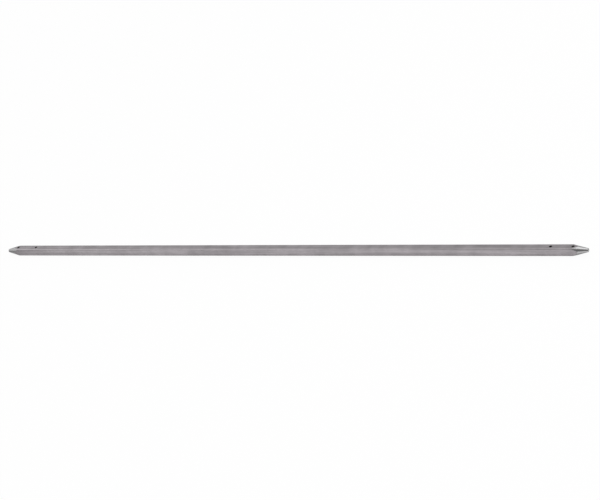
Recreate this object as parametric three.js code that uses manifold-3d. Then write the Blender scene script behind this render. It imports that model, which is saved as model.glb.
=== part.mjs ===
// Gyro spit: a square stainless tube with a turned point pinned into each end.
// It lies along X with its cross-drilled end at +X, on the flat under it at Z = 0.
// Lengths are in millimetres.

import * as THREE from 'three';
import { mergeVertices } from 'three/addons/utils/BufferGeometryUtils.js';
import Module from 'manifold-3d';

// Whole spit
const overallLength = 960;
const acrossFlats = 12;
const cornerRadius = 1.5;

// Tube
const tubeWall = 2.0;
const boreCornerRadius = 0.8;

// Turned points
const pointHalfAngle = THREE.MathUtils.degToRad(14);
const bluntDiameter = 5.0;
const bluntEdgeRadius = 0.9;
const seamFromTip = 15.6;
const spigotLength = 22;
const spigotClearance = 0.25;
const spigotLeadChamfer = 0.8;

// Slotted spring pins that hold the points
const springPinDiameter = 4.0;
const springPinBore = 2.4;
const springPinSlot = 0.9;
const springPinChamfer = 0.35;
const springPinRecess = 0.4;
const springPinClearance = 0.2;
const springPinFromTip = 20.6;

// Cross hole for the locking pin of the meat plate
const lockHoleDiameter = 4.0;
const lockHoleFromTip = 51.8;

// Broken edge round every drilled hole
const holeEdgeBreak = 0.25;

// How far a cutter runs past the surface that it cuts
const overrun = 1;

// Facet counts
const turnedFacets = 96;
const holeFacets = 40;
const cornerFacets = 4;
const edgeRoundFacets = 6;

// Values that follow from the sizes above
const halfLength = overallLength / 2;
const halfAcross = acrossFlats / 2;
const boreAcross = acrossFlats - 2 * tubeWall;
const spigotAcross = boreAcross - 2 * spigotClearance;
const spigotCornerRadius = boreCornerRadius - spigotClearance;
const tubeLength = overallLength - 2 * seamFromTip;
const springPinHole = springPinDiameter + 2 * springPinClearance;
const springPinLength = acrossFlats - 2 * springPinRecess;

const wasm = await Module();
wasm.setup();

// A closed geometry as a solid that can be joined and cut
function toSolid(geometry) {
  const bare = geometry.clone();
  bare.deleteAttribute('normal');
  bare.deleteAttribute('uv');
  const merged = mergeVertices(bare);
  const mesh = new wasm.Mesh({
    numProp: 3,
    vertProperties: new Float32Array(merged.attributes.position.array),
    triVerts: new Uint32Array(merged.index.array),
  });
  return new wasm.Manifold(mesh);
}

// The solid's triangles as a geometry for a mesh
function toGeometry(solid) {
  const mesh = solid.getMesh();
  const geometry = new THREE.BufferGeometry();
  geometry.setAttribute('position', new THREE.BufferAttribute(mesh.vertProperties, mesh.numProp));
  geometry.setIndex(new THREE.BufferAttribute(mesh.triVerts, 1));
  geometry.computeVertexNormals();
  return geometry;
}

// The farthest that a rounded square reaches from its centre
function cornerReach(across, radius) {
  return (across / 2 - radius) * Math.SQRT2 + radius;
}

// A square with rounded corners, drawn round its centre
function roundedSquare(across, radius, Path) {
  const centre = across / 2 - radius;
  const path = new Path();
  for (let corner = 0; corner < 4; corner += 1) {
    const start = (corner * Math.PI) / 2;
    const middle = start + Math.PI / 4;
    const x = Math.sign(Math.cos(middle)) * centre;
    const y = Math.sign(Math.sin(middle)) * centre;
    path.absarc(x, y, radius, start, start + Math.PI / 2, false);
  }
  path.closePath();
  return path;
}

// A section drawn across the spit, extruded along X from one place to another
function alongSpit(section, from, to) {
  const geometry = new THREE.ExtrudeGeometry(section, {
    depth: to - from,
    bevelEnabled: false,
    curveSegments: cornerFacets,
  });
  geometry.rotateY(Math.PI / 2);
  geometry.translate(from, 0, 0);
  return toSolid(geometry);
}

// A profile of [place along the spit, radius] pairs, turned round X
function turnedAlongSpit(profile) {
  const points = profile.map(([place, radius]) => new THREE.Vector2(radius, place));
  const geometry = new THREE.LatheGeometry(points, turnedFacets);
  geometry.rotateZ(-Math.PI / 2);
  return toSolid(geometry);
}

// A profile of [height, radius] pairs, turned round a Z line at one place along the spit
function turnedAcrossSpit(profile, place) {
  const points = profile.map(([height, radius]) => new THREE.Vector2(radius, height));
  const geometry = new THREE.LatheGeometry(points, holeFacets);
  geometry.rotateX(Math.PI / 2);
  geometry.translate(place, 0, 0);
  return toSolid(geometry);
}

// The outline that the lathe leaves at one end: blunt face, rounded edge, then the cone.
// The tip is at 0 and the spit runs from it towards -X.
function pointOutline() {
  const lean = (1 - Math.sin(pointHalfAngle)) / Math.cos(pointHalfAngle);
  const landRadius = bluntDiameter / 2 - bluntEdgeRadius * lean;
  const outline = [[0, 0]];
  for (let step = 0; step <= edgeRoundFacets; step += 1) {
    const turn = (Math.PI / 2 - pointHalfAngle) * (step / edgeRoundFacets);
    const depth = bluntEdgeRadius * (1 - Math.cos(turn));
    const radius = landRadius + bluntEdgeRadius * Math.sin(turn);
    outline.push([-depth, radius]);
  }
  const clearRadius = cornerReach(acrossFlats, cornerRadius) + overrun;
  const coneLength = (clearRadius - bluntDiameter / 2) / Math.tan(pointHalfAngle);
  outline.push([-coneLength, clearRadius]);
  return outline;
}

// Both ends' outlines joined into the shape that the lathe leaves of the whole bar
function turnedEnvelope() {
  const outline = pointOutline();
  const right = outline.map(([place, radius]) => [halfLength + place, radius]);
  const left = outline.map(([place, radius]) => [-halfLength - place, radius]);
  return turnedAlongSpit([...left, ...right.reverse()]);
}

// A drill that breaks the edge of its hole where it comes out of the flats
function edgeBreakingDrill(diameter, place) {
  const radius = diameter / 2;
  const flared = radius + holeEdgeBreak + overrun;
  const outside = halfAcross + overrun;
  const inside = halfAcross - holeEdgeBreak;
  const profile = [
    [-outside, 0],
    [-outside, flared],
    [-inside, radius],
    [inside, radius],
    [outside, flared],
    [outside, 0],
  ];
  return turnedAcrossSpit(profile, place);
}

// The body: a square tube, its ends cut by the same cone as the points, and its holes
function tube() {
  const section = roundedSquare(acrossFlats, cornerRadius, THREE.Shape);
  section.holes.push(roundedSquare(boreAcross, boreCornerRadius, THREE.Path));
  const holePlaces = [
    [springPinHole, halfLength - springPinFromTip],
    [springPinHole, springPinFromTip - halfLength],
    [lockHoleDiameter, halfLength - lockHoleFromTip],
  ];
  let body = alongSpit(section, -tubeLength / 2, tubeLength / 2);
  body = body.intersect(turnedEnvelope());
  for (const [diameter, place] of holePlaces) {
    body = body.subtract(edgeBreakingDrill(diameter, place));
  }
  return toGeometry(body);
}

// The outline of a whole point: the cone, and a lead chamfer on the spigot's inner end
function wholePointOutline() {
  const outline = pointOutline();
  const clearRadius = outline[outline.length - 1][1];
  const innerEnd = -seamFromTip - spigotLength;
  const leadRadius = cornerReach(spigotAcross, spigotCornerRadius) - spigotLeadChamfer;
  outline.push([innerEnd + clearRadius - leadRadius, clearRadius]);
  outline.push([innerEnd, leadRadius]);
  outline.push([innerEnd, 0]);
  return outline;
}

// A turned point with its tip at 0: a cone whose root keeps the tube's square section,
// and a square spigot that goes into the tube
function point() {
  const headSection = roundedSquare(acrossFlats, cornerRadius, THREE.Shape);
  const spigotSection = roundedSquare(spigotAcross, spigotCornerRadius, THREE.Shape);
  const head = alongSpit(headSection, -seamFromTip, overrun);
  const spigot = alongSpit(spigotSection, -seamFromTip - spigotLength - overrun, overrun);
  const turning = turnedAlongSpit(wholePointOutline().reverse());
  const pinHole = turnedAcrossSpit([
    [-halfAcross, 0],
    [-halfAcross, springPinHole / 2],
    [halfAcross, springPinHole / 2],
    [halfAcross, 0],
  ], -springPinFromTip);
  return toGeometry(head.add(spigot).intersect(turning).subtract(pinHole));
}

// A spring pin across the spit: a slit sleeve with chamfered ends, its slit towards -X
function springPin() {
  const outer = springPinDiameter / 2;
  const inner = springPinBore / 2;
  const outerSlit = Math.asin(springPinSlot / 2 / outer);
  const innerSlit = Math.asin(springPinSlot / 2 / inner);
  const section = new THREE.Shape();
  section.absarc(0, 0, outer, outerSlit - Math.PI, Math.PI - outerSlit, false);
  section.absarc(0, 0, inner, Math.PI - innerSlit, innerSlit - Math.PI, true);
  section.closePath();
  const sleeve = new THREE.ExtrudeGeometry(section, {
    depth: springPinLength,
    bevelEnabled: false,
    curveSegments: holeFacets / 2,
  });
  sleeve.translate(0, 0, -springPinLength / 2);

  const end = springPinLength / 2;
  const chamfering = turnedAcrossSpit([
    [-end, 0],
    [-end, outer - springPinChamfer],
    [-end + springPinChamfer + overrun, outer + overrun],
    [end - springPinChamfer - overrun, outer + overrun],
    [end, outer - springPinChamfer],
    [end, 0],
  ], 0);
  return toGeometry(toSolid(sleeve).intersect(chamfering));
}

// Finishes
const drawnSteel = new THREE.MeshStandardMaterial({ color: 0x9e999d, roughness: 0.42, metalness: 1 });
const turnedSteel = new THREE.MeshStandardMaterial({ color: 0xc9c9ca, roughness: 0.2, metalness: 1 });
const springSteel = new THREE.MeshStandardMaterial({ color: 0x6c6a6a, roughness: 0.45, metalness: 1 });

function namedMesh(name, geometry, material) {
  const mesh = new THREE.Mesh(geometry, material);
  mesh.name = name;
  return mesh;
}

// One end of the spit, with its tip at 0: the point and the pin that holds it
function pinnedEnd(name, pointGeometry, pinGeometry) {
  const end = new THREE.Group();
  const pin = namedMesh(`spring_pin_${name}`, pinGeometry, springSteel);
  pin.position.x = -springPinFromTip;
  end.add(namedMesh(`point_${name}`, pointGeometry, turnedSteel), pin);
  return end;
}

const pointGeometry = point();
const pinGeometry = springPin();

const drilledEnd = pinnedEnd('drilled_end', pointGeometry, pinGeometry);
drilledEnd.position.x = halfLength;

const plainEnd = pinnedEnd('plain_end', pointGeometry, pinGeometry);
plainEnd.position.x = -halfLength;
plainEnd.rotation.z = Math.PI;

const spit = new THREE.Group();
spit.add(namedMesh('spit_tube', tube(), drawnSteel), drilledEnd, plainEnd);
spit.position.z = halfAcross;

export default spit;
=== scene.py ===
# %% [markdown]
# # A gyro spit
#
# The real spit is a metre of square stainless tube with a turned steel point in each end. A slotted
# spring pin through tube and point holds each of them, and one more cross hole near each end takes
# the locking pin of a meat plate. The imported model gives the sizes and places, and this lesson
# remakes every piece round it with a finer surface and the finish that the photograph shows.

# %% Load the frame
import math

import bmesh
import bpy
from mathutils import Matrix, Quaternion, Vector


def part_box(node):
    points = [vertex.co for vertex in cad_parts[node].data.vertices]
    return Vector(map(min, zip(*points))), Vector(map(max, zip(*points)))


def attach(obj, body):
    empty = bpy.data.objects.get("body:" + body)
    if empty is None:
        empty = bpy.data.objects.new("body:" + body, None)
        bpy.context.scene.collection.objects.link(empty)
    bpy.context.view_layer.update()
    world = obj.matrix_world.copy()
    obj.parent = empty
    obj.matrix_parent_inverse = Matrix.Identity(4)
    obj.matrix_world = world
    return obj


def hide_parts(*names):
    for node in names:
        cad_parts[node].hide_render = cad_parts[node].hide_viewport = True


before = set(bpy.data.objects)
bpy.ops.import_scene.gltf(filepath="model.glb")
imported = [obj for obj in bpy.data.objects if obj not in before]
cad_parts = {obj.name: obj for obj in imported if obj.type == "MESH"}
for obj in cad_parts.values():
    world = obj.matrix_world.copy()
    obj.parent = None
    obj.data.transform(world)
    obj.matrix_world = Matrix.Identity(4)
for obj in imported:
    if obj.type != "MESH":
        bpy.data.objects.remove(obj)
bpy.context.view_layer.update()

print("nodes:", sorted(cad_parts))

# %% [markdown]
# ## The camera
#
# A photograph of a long straight bar says a lot about its camera: the bar looks a quarter wider at
# the right than at the left, so the right end is nearer, and the widths of its two visible flats
# give the height of the camera. A long lens at about two and a half metres fits both. Tipping the
# camera sideways afterwards lays the bar level in the picture, which no other setting does.

# %% Place the camera
SENSOR_WIDTH = 36.0
LENS = 105.0
AZIMUTH = math.radians(34.22)
ELEVATION = math.radians(29.15)
ROLL = math.radians(-18.38)
DISTANCE = 2.502
AIM = Vector((0.0464, 0.0, 0.0066))
SEES_TO = 100.0

away = Vector((
    math.sin(AZIMUTH) * math.cos(ELEVATION),
    -math.cos(AZIMUTH) * math.cos(ELEVATION),
    math.sin(ELEVATION),
))
camera = bpy.data.objects.new("camera", bpy.data.cameras.new("camera"))
bpy.context.scene.collection.objects.link(camera)
bpy.context.scene.camera = camera
camera.data.sensor_width = SENSOR_WIDTH
camera.data.lens = LENS
camera.data.clip_end = SEES_TO
camera.location = AIM + away * DISTANCE
camera.rotation_mode = "QUATERNION"
level = (-away).to_track_quat("-Z", "Y")
camera.rotation_quaternion = level @ Quaternion((0.0, 0.0, 1.0), ROLL)
print("camera at", [round(c, 3) for c in camera.location])

# %% [markdown]
# ## Small helpers for materials
#
# Every finish here is a network of shader nodes. A few short helpers keep the networks readable: one
# adds a node and sets its unlinked inputs by name, one feeds a socket with a number or a link, and
# the rest add the few kinds of node that do nearly all the sums.

# %% Node helpers
def add_node(tree, kind, settings=(), inputs=()):
    node = tree.nodes.new(kind)
    for name, value in dict(settings).items():
        setattr(node, name, value)
    for name, value in dict(inputs).items():
        node.inputs[name].default_value = value
    return node


def feed(tree, socket, value):
    """Sets the socket to a number, or links another socket to it."""
    if isinstance(value, (int, float)):
        socket.default_value = value
    else:
        tree.links.new(value, socket)


def math_node(tree, operation, first, second):
    node = add_node(tree, "ShaderNodeMath", {"operation": operation})
    for socket, value in zip(node.inputs, (first, second)):
        feed(tree, socket, value)
    return node.outputs[0]


def map_range(tree, value, low, high, to_low, to_high):
    node = add_node(tree, "ShaderNodeMapRange")
    sockets = ("Value", "From Min", "From Max", "To Min", "To Max")
    for socket, number in zip(sockets, (value, low, high, to_low, to_high)):
        feed(tree, node.inputs[socket], number)
    return node.outputs["Result"]


def mix_values(tree, share, first, second):
    """The first value where share is 0 and the second where it is 1."""
    node = add_node(tree, "ShaderNodeMix", {"data_type": "FLOAT"})
    for place, value in ((0, share), (2, first), (3, second)):
        feed(tree, node.inputs[place], value)
    return node.outputs[0]


def two_tone(tree, value, places, dark, light):
    """A colour that goes from dark to light as the value goes from one place to the other."""
    ramp = add_node(tree, "ShaderNodeValToRGB")
    for element, place, colour in zip(ramp.color_ramp.elements, places, (dark, light)):
        element.position = place
        element.color = (*colour, 1.0)
    tree.links.new(value, ramp.inputs["Fac"])
    return ramp.outputs["Color"]


def object_place(tree):
    """Where a point lies on its piece, in metres."""
    return add_node(tree, "ShaderNodeTexCoord").outputs["Object"]


print("helpers for nodes are ready")


# %% Material helpers
def new_material(name):
    material = bpy.data.materials.new(name)
    material.use_nodes = True
    tree = material.node_tree
    tree.nodes.clear()
    output = add_node(tree, "ShaderNodeOutputMaterial")
    return material, tree, output


def seen_directly(tree):
    """1 for rays from the camera, off gloss or through glass, and 0 for rays that only light."""
    path = add_node(tree, "ShaderNodeLightPath")
    by_camera = path.outputs["Is Camera Ray"]
    straight = math_node(tree, "MAXIMUM", by_camera, path.outputs["Is Glossy Ray"])
    return by_camera, math_node(tree, "MAXIMUM", straight, path.outputs["Is Transmission Ray"])


print("helpers for materials are ready")

# %% [markdown]
# ## The stage
#
# The photograph was cut out on pure white. A plain white floor gives that ground and still takes
# the bar's shadow: what the camera sees of it is mostly its own white with a share of the lit
# surface mixed in, so that the shadow stays and is faint. The steel mirrors a larger share of the
# lit surface, which darkens the foot of the front flat. In that mirror the white is only a narrow
# table: it ends at the right-hand tip, fades out over the last ten centimetres before the left-hand
# one, and gives way within twelve centimetres to either side, where the dim room begins.

# %% Floor
FLOOR_HALF_WIDTH = 60.0

floor_mesh = bpy.data.meshes.new("floor")
bm = bmesh.new()
bmesh.ops.create_grid(bm, x_segments=1, y_segments=1, size=FLOOR_HALF_WIDTH)
bm.to_mesh(floor_mesh)
bm.free()
floor = bpy.data.objects.new("floor", floor_mesh)
bpy.context.scene.collection.objects.link(floor)
print("floor:", 2 * FLOOR_HALF_WIDTH, "m each way")

# %% Floor material
FLOOR_WHITE = (0.93, 0.93, 0.93, 1.0)
SEEN_LIT_SHARE = 0.05
MIRRORED_LIT_SHARE = 0.9
TABLE_LEFT = (-0.50, -0.38)
TABLE_RIGHT = (0.475, 0.495)
TABLE_SIDE = (0.03, 0.12)
BEYOND_TABLE = 0.3

material, tree, output = new_material("white_floor")
lit = add_node(tree, "ShaderNodeBsdfDiffuse", inputs={"Color": FLOOR_WHITE})
glow = add_node(tree, "ShaderNodeEmission", inputs={"Color": (1, 1, 1, 1)})
by_camera, direct = seen_directly(tree)

spot = add_node(tree, "ShaderNodeSeparateXYZ")
tree.links.new(object_place(tree), spot.inputs[0])
from_left = map_range(tree, spot.outputs["X"], *TABLE_LEFT, 0.0, 1.0)
from_right = map_range(tree, spot.outputs["X"], *TABLE_RIGHT, 1.0, 0.0)
to_side = math_node(tree, "ABSOLUTE", spot.outputs["Y"], 0.0)
near_bar = map_range(tree, to_side, *TABLE_SIDE, 1.0, 0.0)
table = math_node(tree, "MULTIPLY", math_node(tree, "MULTIPLY", from_left, from_right), near_bar)
brightness = map_range(tree, table, 0.0, 1.0, BEYOND_TABLE, 1.0)
tree.links.new(math_node(tree, "MAXIMUM", brightness, by_camera), glow.inputs["Strength"])

camera_share = math_node(tree, "MULTIPLY", by_camera, 1.0 - SEEN_LIT_SHARE)
in_mirror = math_node(tree, "SUBTRACT", direct, by_camera)
mirror_own = map_range(tree, table, 0.0, 1.0, 1.0, 1.0 - MIRRORED_LIT_SHARE)
mirror_share = math_node(tree, "MULTIPLY", in_mirror, mirror_own)
mix = add_node(tree, "ShaderNodeMixShader")
tree.links.new(math_node(tree, "ADD", camera_share, mirror_share), mix.inputs["Fac"])
tree.links.new(lit.outputs[0], mix.inputs[1])
tree.links.new(glow.outputs[0], mix.inputs[2])
tree.links.new(mix.outputs[0], output.inputs["Surface"])
floor_mesh.materials.append(material)
print("floor material:", material.name)

# %% [markdown]
# ## Light
#
# Steel has almost no colour of its own: it shows what stands round it. The bright band on the turned
# points is a large soft box that hangs above the right-hand end and beyond it, and a little behind
# the bar. Their dark core is a dim room in front. Round that the world is grey at the horizon and
# paler higher up, with a still paler wall at the left. The camera itself sees plain white, and the
# light that the world sheds on matte things comes more from behind than from the front.

# %% Headings in the world
FRONT = (0.0, -1.0, 0.0)
LEFT = (-0.966, -0.259, 0.0)
LEVEL = (1.0, 1.0, 0.0)

world = bpy.data.worlds.new("studio")
bpy.context.scene.world = world
world.use_nodes = True
tree = world.node_tree
tree.nodes.clear()
output = add_node(tree, "ShaderNodeOutputWorld")
direction = add_node(tree, "ShaderNodeTexCoord").outputs["Generated"]

rises = add_node(tree, "ShaderNodeSeparateXYZ")
tree.links.new(direction, rises.inputs[0])
level_part = add_node(tree, "ShaderNodeVectorMath", {"operation": "MULTIPLY"})
level_part.inputs[1].default_value = LEVEL
tree.links.new(direction, level_part.inputs[0])
heading = add_node(tree, "ShaderNodeVectorMath", {"operation": "NORMALIZE"})
tree.links.new(level_part.outputs[0], heading.inputs[0])


def towards(side):
    """1 where the heading points to that side, 0 where it is square to it."""
    dot = add_node(tree, "ShaderNodeVectorMath", {"operation": "DOT_PRODUCT"})
    dot.inputs[1].default_value = side
    tree.links.new(heading.outputs[0], dot.inputs[0])
    return dot.outputs["Value"]


print("front is", FRONT, "and left is", LEFT)

# %% World
ROOM_DIM = 0.17
ROOM_SIDES = (0.86, 0.95)
ROOM_TOP = (0.75, 0.9)
HORIZON_GREY = 0.4
BACK_PALE = 0.55
LEFT_PALE = 0.85
LEFT_SIDES = (0.45, 0.75)
CEILING_FROM = 0.42
LIGHT_FROM_FRONT = 0.4
LIGHT_FROM_BACK = 1.3

wall = map_range(tree, towards(LEFT), *LEFT_SIDES, BACK_PALE, LEFT_PALE)
rise = map_range(tree, rises.outputs["Z"], 0.0, CEILING_FROM, 0.0, 1.0)
sky = mix_values(tree, rise, HORIZON_GREY, wall)
in_room = map_range(tree, towards(FRONT), *ROOM_SIDES, 0.0, 1.0)
below_box = map_range(tree, rises.outputs["Z"], *ROOM_TOP, 1.0, 0.0)
mirrored = mix_values(tree, math_node(tree, "MULTIPLY", in_room, below_box), sky, ROOM_DIM)

by_camera, direct = seen_directly(tree)
seen = mix_values(tree, by_camera, mirrored, 1.0)
lighting = map_range(tree, rises.outputs["Y"], -1.0, 1.0, LIGHT_FROM_FRONT, LIGHT_FROM_BACK)
background = add_node(tree, "ShaderNodeBackground", inputs={"Color": (1, 1, 1, 1)})
tree.links.new(mix_values(tree, direct, lighting, seen), background.inputs["Strength"])
tree.links.new(background.outputs[0], output.inputs["Surface"])
print("world levels: horizon", HORIZON_GREY, "back", BACK_PALE, "left", LEFT_PALE, "room", ROOM_DIM)

# %% Soft box
BOX_LENGTH = 0.9
BOX_WIDTH = 1.7
BOX_PLACE = (0.75, 0.35, 1.5)
BOX_BRIGHTNESS = 0.85

soft_box = bpy.data.lights.new("soft_box", "AREA")
soft_box.shape = "RECTANGLE"
soft_box.size = BOX_LENGTH
soft_box.size_y = BOX_WIDTH
soft_box.energy = BOX_BRIGHTNESS * math.pi * BOX_LENGTH * BOX_WIDTH
soft_box_object = bpy.data.objects.new("soft_box", soft_box)
soft_box_object.location = BOX_PLACE
bpy.context.scene.collection.objects.link(soft_box_object)
bpy.context.scene.view_settings.view_transform = "Standard"
print("soft box:", round(soft_box.energy, 1), "W")

# %% [markdown]
# ## Sizes
#
# The shapes are modelled in millimetres and brought to metres at the end, because the bevel and the
# boolean work best on numbers that aren't tiny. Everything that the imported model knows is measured
# from it: the length, the width across the flats, the seams and the places of the pins. The rest
# are the radii and clearances of a drawn tube, a drill and a lathe tool, and how far the two holes
# for locking pins lie from the tips.

# %% Measure the frame
MM = 0.001

tube_low, tube_high = (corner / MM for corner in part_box("spit_tube"))
point_low, point_high = (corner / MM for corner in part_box("point_drilled_end"))
pin_low, pin_high = (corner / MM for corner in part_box("spring_pin_drilled_end"))

TIP = point_high.x
SEAM = tube_high.x
SPIGOT_END = point_low.x
ACROSS_FLATS = tube_high.z - tube_low.z
HALF_ACROSS = ACROSS_FLATS / 2
PIN_RADIUS = (pin_high.y - pin_low.y) / 2
PIN_PLACE = pin_high.x - PIN_RADIUS
PIN_LENGTH = pin_high.z - pin_low.z
print("tip", round(TIP, 2), "seam", round(SEAM, 2), "spigot end", round(SPIGOT_END, 2))
print("across flats", round(ACROSS_FLATS, 2), "pin radius", round(PIN_RADIUS, 2), "at", round(PIN_PLACE, 2))

# %% Sizes that the frame doesn't give
CORNER_RADIUS = 1.5
TUBE_WALL = 2.0
BORE_CORNER_RADIUS = 0.8
SPIGOT_CLEARANCE = 0.25
SPIGOT_LEAD = 0.8
POINT_HALF_ANGLE = math.radians(14.0)
BLUNT_RADIUS = 2.5
BLUNT_EDGE_RADIUS = 0.9
LOCK_HOLE_RADIUS = 2.0
LOCK_HOLE_FROM_TIP_RIGHT = 51.8
LOCK_HOLE_FROM_TIP_LEFT = 55.1
PIN_FIT = 0.05
PIN_HOLE_RADIUS = PIN_RADIUS + PIN_FIT
PIN_BORE_RADIUS = 1.2
PIN_SLIT = math.radians(34.0)
PIN_CHAMFER = 0.35
HOLE_EDGE_BREAK = 0.25
CREASE_ROUND = 0.06
SEAM_GAP = 0.03

BORE_ACROSS = ACROSS_FLATS - 2 * TUBE_WALL
SPIGOT_ACROSS = BORE_ACROSS - 2 * SPIGOT_CLEARANCE
SPIGOT_CORNER_RADIUS = BORE_CORNER_RADIUS - SPIGOT_CLEARANCE

# %% [markdown]
# ## A square ring
#
# Tube, bore and spigot share one section: a square with rounded corners. It starts as a single
# square face, its four corners are bevelled into arcs, and its straight sides are divided, so that
# a ring has enough points to follow the curve that the lathe cuts later.

# %% Draw a rounded square
CORNER_STEPS = 10
SIDE_STEPS = 32


def rounded_square(bm, across, corner_radius, place):
    """A face across the spit at place, ready to extrude."""
    stand = Matrix.Translation((place, 0.0, HALF_ACROSS)) @ Matrix.Rotation(math.pi / 2, 4, "Y")
    grid = bmesh.ops.create_grid(bm, x_segments=1, y_segments=1, size=across / 2, matrix=stand)
    rounded = bmesh.ops.bevel(
        bm,
        geom=grid["verts"],
        offset=corner_radius,
        offset_type="OFFSET",
        segments=CORNER_STEPS,
        profile=0.5,
        affect="VERTICES",
        material=-1,
    )
    face = rounded["verts"][0].link_faces[0]
    sides = [edge for edge in face.edges if edge.calc_length() > across / 2]
    bmesh.ops.subdivide_edges(bm, edges=sides, cuts=SIDE_STEPS - 1)
    return face


def open_ring(bm, face):
    """Takes the face away and keeps its edges."""
    edges = list(face.edges)
    bmesh.ops.delete(bm, geom=[face], context="FACES_ONLY")
    return edges


def extrude_ring(bm, edges, move):
    """Extrudes a ring of edges and moves each new point. Returns the new ring and its faces."""
    made = bmesh.ops.extrude_edge_only(bm, edges=edges)["geom"]
    for point in (part for part in made if isinstance(part, bmesh.types.BMVert)):
        point.co = move(point.co)
    ring = [part for part in made if isinstance(part, bmesh.types.BMEdge) and part.is_boundary]
    faces = [part for part in made if isinstance(part, bmesh.types.BMFace)]
    return ring, faces


bm = bmesh.new()
test_ring = open_ring(bm, rounded_square(bm, ACROSS_FLATS, CORNER_RADIUS, 0.0))
print("a ring has", len(test_ring), "edges, round", round(sum(e.calc_length() for e in test_ring), 2), "mm")
bm.free()

# %% [markdown]
# ## The turned outside
#
# On the real spit the points are pinned in first and then the whole bar goes into the lathe, so one
# cone runs over the corners of the tube and the head of the point alike. Where a cone meets a flat
# it leaves a rounded tongue, and where it meets a corner it starts early. A boolean would find that
# line, but would leave thin triangles along it. Here each point of the ring is pushed along the bar
# to the exact place where the cone reaches it, which gives the same curve as one clean loop.

# %% Turn one end
CONE_STEPS = 8
BLUNT_STEPS = 8
CREASE_STEPS = 3
SAME_POINT = 1e-4
DRAWN, TURNED, DRILLED = range(3)

slope = math.tan(POINT_HALF_ANGLE)
lean = (1 - math.sin(POINT_HALF_ANGLE)) / math.cos(POINT_HALF_ANGLE)
land_radius = BLUNT_RADIUS - BLUNT_EDGE_RADIUS * lean
round_end_depth = BLUNT_EDGE_RADIUS * (1 - math.sin(POINT_HALF_ANGLE))


def from_axis(co):
    return math.hypot(co.y, co.z - HALF_ACROSS)


def at_radius(co, place, radius):
    """The point at that place and radius, in the same direction from the axis."""
    share = radius / from_axis(co)
    return Vector((place, co.y * share, HALF_ACROSS + (co.z - HALF_ACROSS) * share))


def to_cone(co):
    depth = (from_axis(co) - BLUNT_RADIUS) / slope
    return Vector((TIP - depth, co.y, co.z))


def down_cone(step):
    def move(co):
        depth = TIP - co.x
        depth += (round_end_depth - depth) / (CONE_STEPS - step)
        return at_radius(co, TIP - depth, BLUNT_RADIUS + depth * slope)
    return move


def round_blunt_edge(step):
    turn = (math.pi / 2 - POINT_HALF_ANGLE) * (1 - (step + 1) / BLUNT_STEPS)
    place = TIP - BLUNT_EDGE_RADIUS * (1 - math.cos(turn))
    radius = land_radius + BLUNT_EDGE_RADIUS * math.sin(turn)
    return lambda co: at_radius(co, place, radius)


def turned_bar():
    """The closed outside of the whole spit: one half is turned, then mirrored."""
    bm = bmesh.new()
    ring = open_ring(bm, rounded_square(bm, ACROSS_FLATS, CORNER_RADIUS, 0.0))
    crease, _ = extrude_ring(bm, ring, to_cone)
    ring = crease
    turned = []
    for step in range(CONE_STEPS):
        ring, faces = extrude_ring(bm, ring, down_cone(step))
        turned += faces
    for step in range(BLUNT_STEPS):
        ring, faces = extrude_ring(bm, ring, round_blunt_edge(step))
        turned += faces
    turned += bmesh.ops.contextual_create(bm, geom=ring)["faces"]
    for face in turned:
        face.material_index = TURNED
    bmesh.ops.bevel(
        bm,
        geom=crease,
        offset=CREASE_ROUND,
        offset_type="OFFSET",
        segments=CREASE_STEPS,
        profile=0.5,
        affect="EDGES",
        material=-1,
        clamp_overlap=False,
    )
    everything = bm.verts[:] + bm.edges[:] + bm.faces[:]
    bmesh.ops.mirror(bm, geom=everything, merge_dist=SAME_POINT, axis="X")
    bmesh.ops.recalc_face_normals(bm, faces=bm.faces)
    return bm


bar = turned_bar()
open_edges = sum(edge.is_boundary for edge in bar.edges)
print("turned bar:", len(bar.faces), "faces,", open_edges, "open edges")
print("its volume:", round(bar.calc_volume()), "mm3")

# %% [markdown]
# ## From working mesh to piece
#
# A piece is drilled while it is still in millimetres. The boolean modifier does that on the flats,
# where its long faces stay flat and don't show. It leaves doubled points where an edge of the drill
# crosses an edge of the piece, and these are merged. After that the mesh is brought to metres, its
# edges sharper than a limit are marked, and everything else is shaded smooth.

# %% Make an object and a drill
SHARP = math.radians(28.0)
DRILL_STEPS = 96
DRILL_OVERRUN = 1.0
MERGE_WITHIN = 0.002


def to_object(bm, name, materials):
    mesh = bpy.data.meshes.new(name)
    bm.to_mesh(mesh)
    bm.free()
    for material in materials:
        mesh.materials.append(material)
    made = bpy.data.objects.new(name, mesh)
    bpy.context.scene.collection.objects.link(made)
    return made


def drill_bit(radius, place, materials):
    """A drill as long as the spit is thick, flared where it breaks the hole's edges."""
    reach = HALF_ACROSS + DRILL_OVERRUN
    flare = radius + HOLE_EDGE_BREAK + DRILL_OVERRUN
    inside = HALF_ACROSS - HOLE_EDGE_BREAK
    outline = [
        (0, -reach),
        (flare, -reach),
        (radius, -inside),
        (radius, inside),
        (flare, reach),
        (0, reach),
    ]
    bm = bmesh.new()
    points = [bm.verts.new((across, 0.0, height)) for across, height in outline]
    for one, other in zip(points, points[1:]):
        bm.edges.new((one, other))
    bmesh.ops.spin(
        bm,
        geom=bm.verts[:] + bm.edges[:],
        cent=(0, 0, 0),
        axis=(0, 0, 1),
        angle=2 * math.pi,
        steps=DRILL_STEPS,
        use_merge=True,
    )
    bmesh.ops.remove_doubles(bm, verts=bm.verts, dist=SAME_POINT)
    bmesh.ops.recalc_face_normals(bm, faces=bm.faces)
    bmesh.ops.translate(bm, verts=bm.verts, vec=(place, 0.0, HALF_ACROSS))
    # The drilled walls take the third finish, whose dark grey is painted shade.
    for face in bm.faces:
        face.material_index = DRILLED
    return to_object(bm, "drill_bit", materials)


print("a drill has", DRILL_STEPS, "sides")


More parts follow.
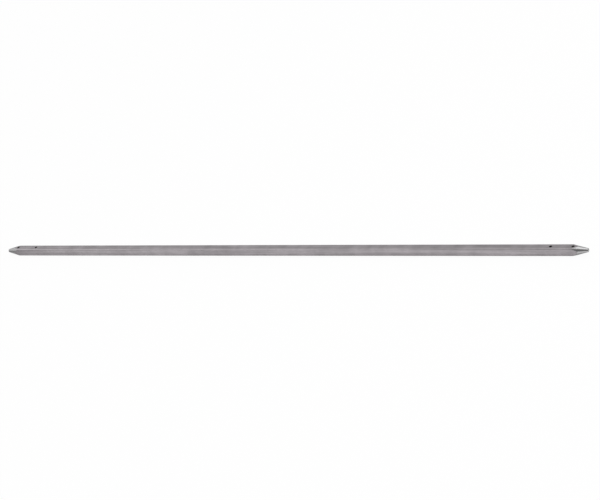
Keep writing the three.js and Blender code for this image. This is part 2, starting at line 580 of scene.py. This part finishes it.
# %% Drill a piece and finish it
def merge_doubled_points(mesh):
    """Merges what the boolean doubled and counts the edges that are then still open."""
    bm = bmesh.new()
    bm.from_mesh(mesh)
    bmesh.ops.remove_doubles(bm, verts=bm.verts, dist=MERGE_WITHIN)
    open_edges = sum(not edge.is_manifold for edge in bm.edges)
    bm.to_mesh(mesh)
    bm.free()
    return open_edges


def drill(piece, radius, place):
    bit = drill_bit(radius, place, piece.data.materials)
    cut = piece.modifiers.new("drill", "BOOLEAN")
    cut.operation = "DIFFERENCE"
    cut.solver = "EXACT"
    cut.object = bit
    graph = bpy.context.evaluated_depsgraph_get()
    drilled = bpy.data.meshes.new_from_object(piece.evaluated_get(graph))
    piece.modifiers.remove(cut)
    open_edges = merge_doubled_points(drilled)
    print(piece.name, "drilled at", round(place, 1), "with", open_edges, "open edges")
    whole = piece.data
    piece.data = drilled
    bpy.data.meshes.remove(whole)
    bpy.data.objects.remove(bit)


def finish_piece(piece, node):
    piece.data.transform(Matrix.Scale(MM, 4))
    piece.data.shade_smooth()
    piece.data.set_sharp_from_angle(angle=SHARP)
    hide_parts(node)
    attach(piece, "root")
    print(piece.name, "has", len(piece.data.polygons), "faces")


print("edges sharper than", round(math.degrees(SHARP)), "degrees stay sharp")

# %% [markdown]
# ## Directional lines
#
# Drawing, turning and wire-brushing all leave fine lines that run one way. A noise texture that is
# stretched a thousand times along that way gives them. Lengthwise lines need a low number along the
# bar and a high one across it, and turned rings the other way round, so one group serves every
# finish and each material places it with its own numbers.

# %% Line group
def new_group(name, inputs, outputs):
    group = bpy.data.node_groups.new(name, "ShaderNodeTree")
    for socket, default in inputs.items():
        made = group.interface.new_socket(socket, in_out="INPUT", socket_type="NodeSocketFloat")
        made.default_value = default
    for socket in outputs:
        group.interface.new_socket(socket, in_out="OUTPUT", socket_type="NodeSocketFloat")
    return group, group.nodes.new("NodeGroupInput"), group.nodes.new("NodeGroupOutput")


def use_group(tree, group, values):
    node = add_node(tree, "ShaderNodeGroup", {"node_tree": group}, values)
    return node.outputs


lines_group, entry, leave = new_group(
    "directional_lines",
    {"Along": 3.0, "Across": 900.0, "Detail": 3.0, "Shift": 0.0},
    ["Lines"],
)
stretch = add_node(lines_group, "ShaderNodeCombineXYZ")
for axis, socket in (("X", "Along"), ("Y", "Across"), ("Z", "Across")):
    lines_group.links.new(entry.outputs[socket], stretch.inputs[axis])
shift = add_node(lines_group, "ShaderNodeCombineXYZ")
for axis in "XYZ":
    lines_group.links.new(entry.outputs["Shift"], shift.inputs[axis])
mapping = add_node(lines_group, "ShaderNodeMapping", {"vector_type": "POINT"})
lines_group.links.new(object_place(lines_group), mapping.inputs["Vector"])
lines_group.links.new(shift.outputs[0], mapping.inputs["Location"])
lines_group.links.new(stretch.outputs[0], mapping.inputs["Scale"])
noise = add_node(lines_group, "ShaderNodeTexNoise", inputs={"Scale": 1.0, "Roughness": 0.6})
lines_group.links.new(mapping.outputs[0], noise.inputs["Vector"])
lines_group.links.new(entry.outputs["Detail"], noise.inputs["Detail"])
lines_group.links.new(noise.outputs["Fac"], leave.inputs["Lines"])
print("group", lines_group.name, "made")

# %% [markdown]
# ## Handling marks
#
# A used spit carries wiped patches, which change its gloss and tone, and stray hair scratches that
# don't follow the grain. Both come from noise again: soft and round for the patches, and narrow
# ridges of a slanted, stretched noise for the scratches.

# %% Handling group
PATCH_EDGES = (0.35, 0.65)
HAIR_SLANT = (0.5, 0.6, 0.7)
HAIR_STRETCH = (0.12, 1.0, 1.0)
HAIR_WIDTH = 0.012

marks_group, entry, leave = new_group(
    "handling_marks",
    {"Patch Size": 30.0, "Scratch Size": 240.0},
    ["Patches", "Scratches"],
)
patch_noise = add_node(marks_group, "ShaderNodeTexNoise", inputs={"Detail": 3.0, "Roughness": 0.55})
marks_group.links.new(object_place(marks_group), patch_noise.inputs["Vector"])
marks_group.links.new(entry.outputs["Patch Size"], patch_noise.inputs["Scale"])
patches = map_range(marks_group, patch_noise.outputs["Fac"], *PATCH_EDGES, 0.0, 1.0)
marks_group.links.new(patches, leave.inputs["Patches"])

slant = add_node(marks_group, "ShaderNodeMapping", inputs={"Rotation": HAIR_SLANT, "Scale": HAIR_STRETCH})
marks_group.links.new(object_place(marks_group), slant.inputs["Vector"])
hairs = add_node(marks_group, "ShaderNodeTexNoise", inputs={"Detail": 1.0, "Distortion": 0.2})
marks_group.links.new(slant.outputs[0], hairs.inputs["Vector"])
marks_group.links.new(entry.outputs["Scratch Size"], hairs.inputs["Scale"])
from_middle = math_node(marks_group, "SUBTRACT", hairs.outputs["Fac"], 0.5)
ridge = math_node(marks_group, "ABSOLUTE", from_middle, 0.0)
scratches = map_range(marks_group, ridge, 0.0, HAIR_WIDTH, 1.0, 0.0)
marks_group.links.new(scratches, leave.inputs["Scratches"])
print("group", marks_group.name, "made")

# %% [markdown]
# ## Drawn steel
#
# The tube's flats are matte grey with a faint warm tinge, finely lined along the bar, with slow
# light and dark streaks where the die rubbed unevenly, and paler or darker where it was wiped. Its
# rounded corners are a little brighter: partly rub wear, partly a painted highlight for the corners'
# reflection. The fine lines only tilt the surface, as they do on the real thing, and the grain
# draws each reflection out along the bar, which the anisotropic setting and its tangent give.

# %% Drawn steel material
DRAWN_DARK = (0.368, 0.344, 0.359)
DRAWN_LIGHT = (0.578, 0.540, 0.564)
DRAWN_CONTRAST = (0.33, 0.68)
DRAWN_ROUGHNESS = (0.28, 0.36)
DRAWN_LINE_DEPTH = 0.02
DRAWN_LINE_STRENGTH = 0.25
STREAK_SHARE = 0.7
WIPED = (0.90, 1.10)
SCRATCH_ROUGHNESS = 0.08
# Corner brightening: rub wear together with a painted highlight on the rounded corners.
CORNER_WEAR_AND_HIGHLIGHT = 1.1
CORNER_HIGHLIGHT_BLEND = CORNER_RADIUS / 3


def add_grain(tree, shader, lines, strength, depth):
    """Tilts the surface along its lines and points the grain along the bar."""
    bump = add_node(tree, "ShaderNodeBump", inputs={"Strength": strength, "Distance": depth * MM})
    tree.links.new(lines, bump.inputs["Height"])
    tree.links.new(bump.outputs["Normal"], shader.inputs["Normal"])
    along = add_node(tree, "ShaderNodeCombineXYZ", inputs={"X": 1.0})
    tree.links.new(along.outputs[0], shader.inputs["Tangent"])


def worn_and_highlit_corners(tree):
    """1 on the flats, and a brighter tone from a little way round each corner: rub wear and a painted
    highlight.
    """
    to_middle = (0.0, 0.0, -HALF_ACROSS * MM)
    centred = add_node(tree, "ShaderNodeMapping", inputs={"Location": to_middle})
    tree.links.new(object_place(tree), centred.inputs["Vector"])
    offset = add_node(tree, "ShaderNodeSeparateXYZ")
    tree.links.new(centred.outputs[0], offset.inputs[0])
    to_flats = [math_node(tree, "ABSOLUTE", offset.outputs[axis], 0.0) for axis in "YZ"]
    out_from_axis = math_node(tree, "ADD", *to_flats)
    flat_end = (ACROSS_FLATS - CORNER_RADIUS) * MM
    return map_range(tree, out_from_axis, flat_end, flat_end + CORNER_HIGHLIGHT_BLEND * MM, 1.0, CORNER_WEAR_AND_HIGHLIGHT)


def drawn_steel():
    material, tree, output = new_material("drawn_steel")
    fine = use_group(tree, lines_group, {"Along": 2.5, "Across": 2600.0, "Detail": 4.0})["Lines"]
    slow = {"Along": 7.0, "Across": 330.0, "Detail": 3.0, "Shift": 23.0}
    streaks = use_group(tree, lines_group, slow)["Lines"]
    marks = use_group(tree, marks_group, {"Patch Size": 60.0, "Scratch Size": 260.0})
    shader = add_node(tree, "ShaderNodeBsdfPrincipled", inputs={
        "Metallic": 1.0,
        "Anisotropic": 0.6,
        "Anisotropic Rotation": 0.25,
    })

    streak_part = math_node(tree, "MULTIPLY", streaks, STREAK_SHARE)
    fine_part = math_node(tree, "MULTIPLY", fine, 1.0 - STREAK_SHARE)
    tone = math_node(tree, "ADD", streak_part, fine_part)
    colour = two_tone(tree, tone, DRAWN_CONTRAST, DRAWN_DARK, DRAWN_LIGHT)
    wiped = map_range(tree, marks["Patches"], 0.0, 1.0, *WIPED)
    brighter = add_node(tree, "ShaderNodeVectorMath", {"operation": "SCALE"})
    tree.links.new(colour, brighter.inputs[0])
    # The corners' brighter tone is rub wear and a painted highlight.
    tree.links.new(math_node(tree, "MULTIPLY", worn_and_highlit_corners(tree), wiped), brighter.inputs["Scale"])
    tree.links.new(brighter.outputs[0], shader.inputs["Base Color"])

    worn = map_range(tree, marks["Patches"], 0.0, 1.0, *DRAWN_ROUGHNESS)
    scratched = math_node(tree, "MULTIPLY", marks["Scratches"], SCRATCH_ROUGHNESS)
    tree.links.new(math_node(tree, "ADD", worn, scratched), shader.inputs["Roughness"])
    add_grain(tree, shader, fine, DRAWN_LINE_STRENGTH, DRAWN_LINE_DEPTH)
    tree.links.new(shader.outputs[0], output.inputs["Surface"])
    return material


drawn_finish = drawn_steel()
print("material:", drawn_finish.name)

# %% [markdown]
# ## Turned steel
#
# The cones came off a lathe last and are the brightest metal on the spit. Their rings are the same
# lines as on the tube, packed along the bar instead of across it, and their gloss is high enough to
# mirror the soft box and the dark room as two clear bands.

# %% Turned steel material
TURNED_DARK = (0.48, 0.475, 0.48)
TURNED_LIGHT = (0.60, 0.595, 0.60)
TURNED_CONTRAST = (0.3, 0.7)
TURNED_ROUGHNESS = (0.17, 0.25)
TURNED_LINE_DEPTH = 0.01
TURNED_LINE_STRENGTH = 0.15


def turned_steel():
    material, tree, output = new_material("turned_steel")
    rings = use_group(tree, lines_group, {"Along": 2400.0, "Across": 1.0, "Detail": 2.0})["Lines"]
    marks = use_group(tree, marks_group, {"Patch Size": 90.0, "Scratch Size": 420.0})
    shader = add_node(tree, "ShaderNodeBsdfPrincipled", inputs={"Metallic": 1.0, "Anisotropic": 0.7})
    colour = two_tone(tree, rings, TURNED_CONTRAST, TURNED_DARK, TURNED_LIGHT)
    tree.links.new(colour, shader.inputs["Base Color"])
    roughness = map_range(tree, marks["Patches"], 0.0, 1.0, *TURNED_ROUGHNESS)
    tree.links.new(roughness, shader.inputs["Roughness"])
    add_grain(tree, shader, rings, TURNED_LINE_STRENGTH, TURNED_LINE_DEPTH)
    tree.links.new(shader.outputs[0], output.inputs["Surface"])
    return material


turned_finish = turned_steel()
print("material:", turned_finish.name)

# %% [markdown]
# ## Dull metal in the holes
#
# A drill leaves a duller wall than a die or a lathe tool. The walls of the holes are a dull dark grey,
# painted shade in the holes, and the spring pins the bare dark grey of hardened strip.

# %% Hole and pin materials
MOTTLED = (0.7, 1.2)
SCRATCH_GLOSS = 0.7


def dull_metal(name, colour, roughness):
    material, tree, output = new_material(name)
    marks = use_group(tree, marks_group, {"Patch Size": 400.0, "Scratch Size": 900.0})
    shader = add_node(tree, "ShaderNodeBsdfPrincipled", inputs={"Metallic": 1.0})
    dark, light = ([share * part for part in colour] for share in MOTTLED)
    tree.links.new(two_tone(tree, marks["Patches"], (0.0, 1.0), dark, light), shader.inputs["Base Color"])
    gloss = map_range(tree, marks["Scratches"], 0.0, 1.0, roughness, roughness * SCRATCH_GLOSS)
    tree.links.new(gloss, shader.inputs["Roughness"])
    tree.links.new(shader.outputs[0], output.inputs["Surface"])
    return material


# The hole walls are painted darker than the steel round them: painted shade in the holes.
hole_shade_finish = dull_metal("hole_wall_painted_shade", (0.2, 0.195, 0.195), 0.45)
spring_finish = dull_metal("hardened_strip", (0.13, 0.128, 0.128), 0.38)
steel_finishes = [drawn_finish, turned_finish, hole_shade_finish]
print("materials:", [finish.name for finish in steel_finishes], spring_finish.name)

# %% [markdown]
# ## The tube
#
# The tube is the middle of the turned bar, sawn off at both seams, with a smaller rounded square
# through it. Bridging the two loops at each end closes the wall, and then it is drilled four times.

# %% Build the tube
ON_PLANE = 1e-5
AT_END = 1e-3


def ends_at(bm, place):
    """The open edges that lie across the spit at place."""
    def near(point):
        return abs(point.co.x - place) < AT_END
    return [edge for edge in bm.edges if edge.is_boundary and all(map(near, edge.verts))]


def saw(bm, place, keep):
    """Saws the bar across at place and keeps the side that keep points to."""
    everything = bm.verts[:] + bm.edges[:] + bm.faces[:]
    bmesh.ops.bisect_plane(
        bm,
        geom=everything,
        dist=ON_PLANE,
        plane_co=(place, 0, 0),
        plane_no=(-keep, 0, 0),
        clear_outer=True,
    )
    return ends_at(bm, place)


def build_tube():
    bm = bar.copy()
    end = SEAM - SEAM_GAP
    for side in (1, -1):
        saw(bm, side * end, -side)
    bore_ring = open_ring(bm, rounded_square(bm, BORE_ACROSS, BORE_CORNER_RADIUS, -end))
    extrude_ring(bm, bore_ring, lambda co: Vector((end, co.y, co.z)))
    for side in (1, -1):
        bmesh.ops.bridge_loops(bm, edges=ends_at(bm, side * end))
    bmesh.ops.recalc_face_normals(bm, faces=bm.faces)
    print("tube: open edges", sum(edge.is_boundary for edge in bm.edges))
    print("tube: volume", round(bm.calc_volume()), "mm3 before it is drilled")
    return to_object(bm, "square_tube", steel_finishes)


tube = build_tube()
for radius, place in (
    (PIN_HOLE_RADIUS, PIN_PLACE),
    (PIN_HOLE_RADIUS, -PIN_PLACE),
    (LOCK_HOLE_RADIUS, TIP - LOCK_HOLE_FROM_TIP_RIGHT),
    (LOCK_HOLE_RADIUS, LOCK_HOLE_FROM_TIP_LEFT - TIP),
):
    drill(tube, radius, place)
finish_piece(tube, "spit_tube")

# %% [markdown]
# ## The points
#
# A point is what the saw left of the bar beyond the seam, and a square spigot that grows out of its
# back face into the tube. The left-hand point is the same one, mirrored.

# %% Build the points
def build_point(name, side):
    bm = bar.copy()
    back_face = SEAM + SEAM_GAP
    edge = saw(bm, back_face, 1)
    spigot = open_ring(bm, rounded_square(bm, SPIGOT_ACROSS, SPIGOT_CORNER_RADIUS, back_face))
    bmesh.ops.bridge_loops(bm, edges=edge + spigot)
    lead_start = SPIGOT_END + SPIGOT_LEAD
    corner_centre = SPIGOT_ACROSS / 2 - SPIGOT_CORNER_RADIUS
    lead_radius = corner_centre * math.sqrt(2) + SPIGOT_CORNER_RADIUS - SPIGOT_LEAD

    def to_lead(co):
        return at_radius(co, SPIGOT_END, min(from_axis(co), lead_radius))

    ring, sides = extrude_ring(bm, spigot, lambda co: Vector((lead_start, co.y, co.z)))
    ring, lead = extrude_ring(bm, ring, to_lead)
    back = bmesh.ops.contextual_create(bm, geom=ring)["faces"]
    for face in sides + lead + back:
        face.material_index = TURNED
    bmesh.ops.scale(bm, verts=bm.verts, vec=(side, 1, 1))
    bmesh.ops.recalc_face_normals(bm, faces=bm.faces)
    print(name, "open edges", sum(edge.is_boundary for edge in bm.edges))
    return to_object(bm, name, steel_finishes)


for name, side, node in (
    ("turned_point_drilled_end", 1, "point_drilled_end"),
    ("turned_point_plain_end", -1, "point_plain_end"),
):
    point = build_point(name, side)
    drill(point, PIN_HOLE_RADIUS, side * PIN_PLACE)
    finish_piece(point, node)

# %% [markdown]
# ## The spring pins
#
# A slotted spring pin is a strip of hardened steel rolled almost shut. Spinning the section of its
# wall round its middle, and stopping short of a full turn, gives the sleeve and leaves the slit.

# %% Build the spring pins
PIN_STEPS = 72


def build_spring_pin(name, side):
    half = PIN_LENGTH / 2
    outline = [
        (PIN_BORE_RADIUS, -half),
        (PIN_RADIUS - PIN_CHAMFER, -half),
        (PIN_RADIUS, PIN_CHAMFER - half),
        (PIN_RADIUS, half - PIN_CHAMFER),
        (PIN_RADIUS - PIN_CHAMFER, half),
        (PIN_BORE_RADIUS, half),
    ]
    bm = bmesh.new()
    wall = bm.faces.new([bm.verts.new((across, 0.0, height)) for across, height in outline])
    bmesh.ops.rotate(bm, verts=bm.verts, matrix=Matrix.Rotation(PIN_SLIT / 2 - math.pi, 3, "Z"))
    bmesh.ops.spin(
        bm,
        geom=[wall],
        cent=(0, 0, 0),
        axis=(0, 0, 1),
        angle=2 * math.pi - PIN_SLIT,
        steps=PIN_STEPS,
    )
    bmesh.ops.scale(bm, verts=bm.verts, vec=(side, 1, 1))
    bmesh.ops.translate(bm, verts=bm.verts, vec=(side * PIN_PLACE, 0.0, HALF_ACROSS))
    bmesh.ops.recalc_face_normals(bm, faces=bm.faces)
    print(name, "open edges", sum(edge.is_boundary for edge in bm.edges))
    return to_object(bm, name, [spring_finish])


for name, side, node in (
    ("slotted_pin_drilled_end", 1, "spring_pin_drilled_end"),
    ("slotted_pin_plain_end", -1, "spring_pin_plain_end"),
):
    finish_piece(build_spring_pin(name, side), node)
bar.free()
